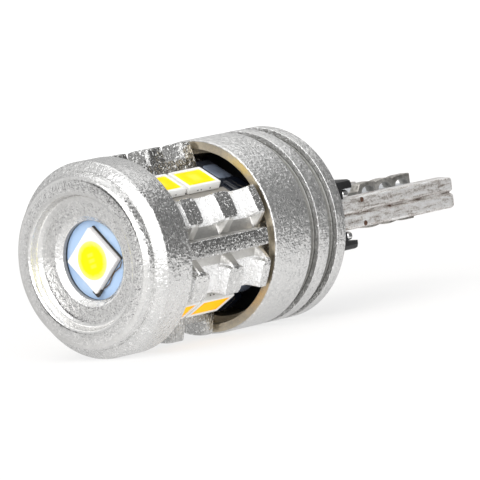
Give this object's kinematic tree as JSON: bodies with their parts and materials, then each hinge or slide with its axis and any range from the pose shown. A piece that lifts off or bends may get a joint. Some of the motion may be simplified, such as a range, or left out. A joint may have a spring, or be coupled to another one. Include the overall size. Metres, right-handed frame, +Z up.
{
  "type": "wedge base led bulb",
  "caption": "Round finned metal led bulb with chip leds on its front and sides, a grooved collar and a flat wedge base with arched contact strips.",
  "frame": {"origin": "middle of the bulb's footprint as it lies on its side, on the surface it lies on", "axes": "+X along the bulb's axis from the head to the wedge's tip, +Z up, the wedge plate level and its near edge towards -Y"},
  "size_m": [0.031, 0.0124, 0.0125],
  "materials": {
    "cast_aluminium": "bright, grainy die-cast surface",
    "core_aluminium": "plain drawn bar",
    "front_board_blue": "light blue solder mask",
    "side_board_dark": "near-black blue solder mask",
    "wedge_board_grey": "grey board face",
    "led_white": "white moulded led package",
    "phosphor_yellow": "yellow phosphor fill, unlit",
    "holder_black": "black moulded plastic",
    "tinned_metal": "mottled tin plate",
    "strip_metal": "dull spring strip",
    "chip_black": "black chip package",
    "resistor_ceramic": "dark chip resistor"
  },
  "bodies": {
    "root": {"head_casting": "cast_aluminium", "rear_collar": "cast_aluminium", "front_board": "front_board_blue", "front_led_package": "led_white", "front_led_phosphor": "phosphor_yellow", "core_bar": "core_aluminium", "side_board_1": "side_board_dark", "side_board_2": "side_board_dark", "side_board_3": "side_board_dark", "side_led_1_1_package": "led_white", "side_led_1_1_phosphor": "phosphor_yellow", "side_led_1_2_package": "led_white", "side_led_1_2_phosphor": "phosphor_yellow", "side_led_2_1_package": "led_white", "side_led_2_1_phosphor": "phosphor_yellow", "side_led_2_2_package": "led_white", "side_led_2_2_phosphor": "phosphor_yellow", "side_led_3_1_package": "led_white", "side_led_3_1_phosphor": "phosphor_yellow", "side_led_3_2_package": "led_white", "side_led_3_2_phosphor": "phosphor_yellow", "holder_block": "holder_black", "lead_end_upper": "tinned_metal", "lead_end_lower": "tinned_metal", "wedge_board": "wedge_board_grey", "edge_rail_near": "tinned_metal", "edge_rail_far": "tinned_metal", "contact_strip_upper": "strip_metal", "contact_strip_lower": "strip_metal", "driver_chip": "chip_black", "rectifier": "chip_black", "resistor_1": "resistor_ceramic", "resistor_2": "resistor_ceramic", "resistor_3": "resistor_ceramic"}
  },
  "joints": []
}
